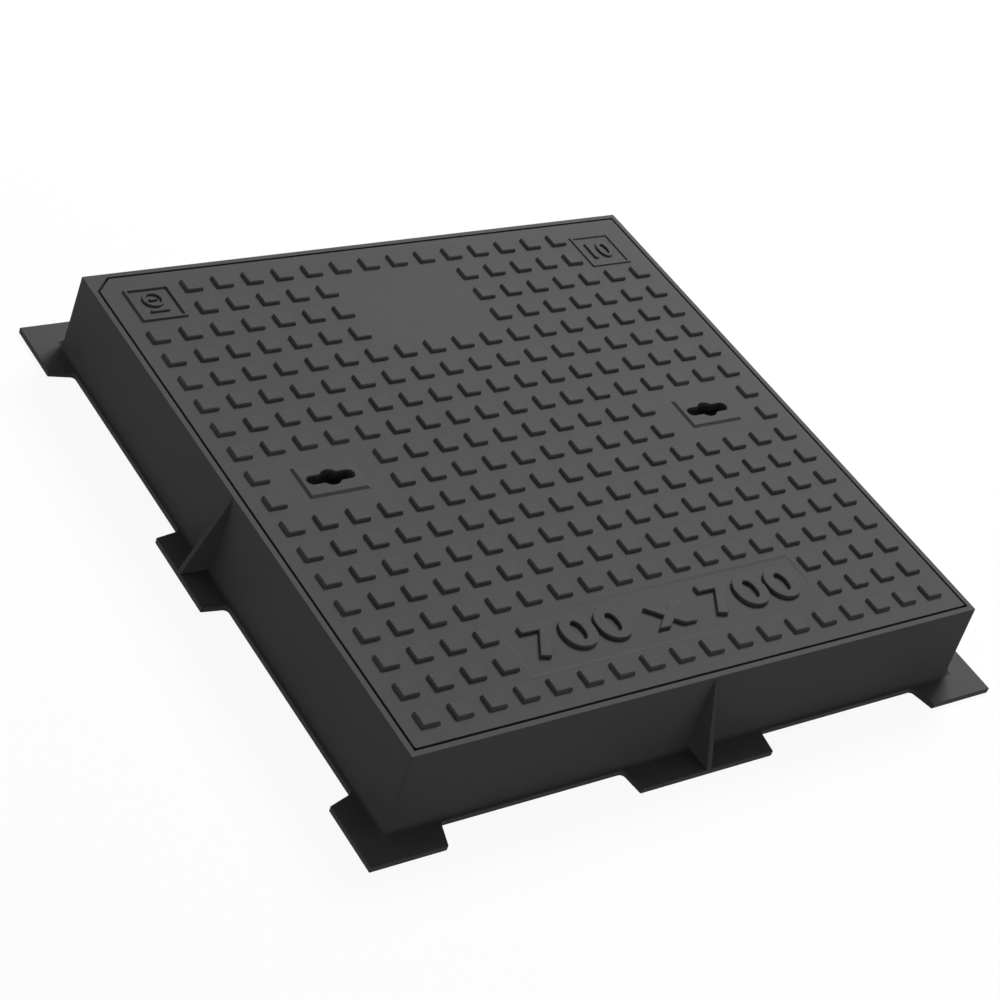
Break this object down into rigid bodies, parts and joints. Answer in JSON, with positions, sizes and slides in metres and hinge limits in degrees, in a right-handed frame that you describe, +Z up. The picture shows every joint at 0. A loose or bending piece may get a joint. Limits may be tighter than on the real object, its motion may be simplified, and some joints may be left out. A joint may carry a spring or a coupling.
{
  "type": "cable pit cover",
  "caption": "Square access cover with a studded tread and key slots, resting in a flanged cast frame with corner and side feet.",
  "frame": {"origin": "centre of the frame's underside, on the ground that it is bedded on", "axes": "+Z up out of the ground, +Y towards the edge with the outlined squares, +X to the right when the two squares are at the far side"},
  "size_m": [0.796, 0.796, 0.1042],
  "materials": {
    "coated_iron": "matte black bituminous coating on ductile iron",
    "elastomer": "matte"
  },
  "bodies": {
    "root": {"frame": "coated_iron", "cover": "coated_iron", "seat_strip": "elastomer"}
  },
  "joints": []
}
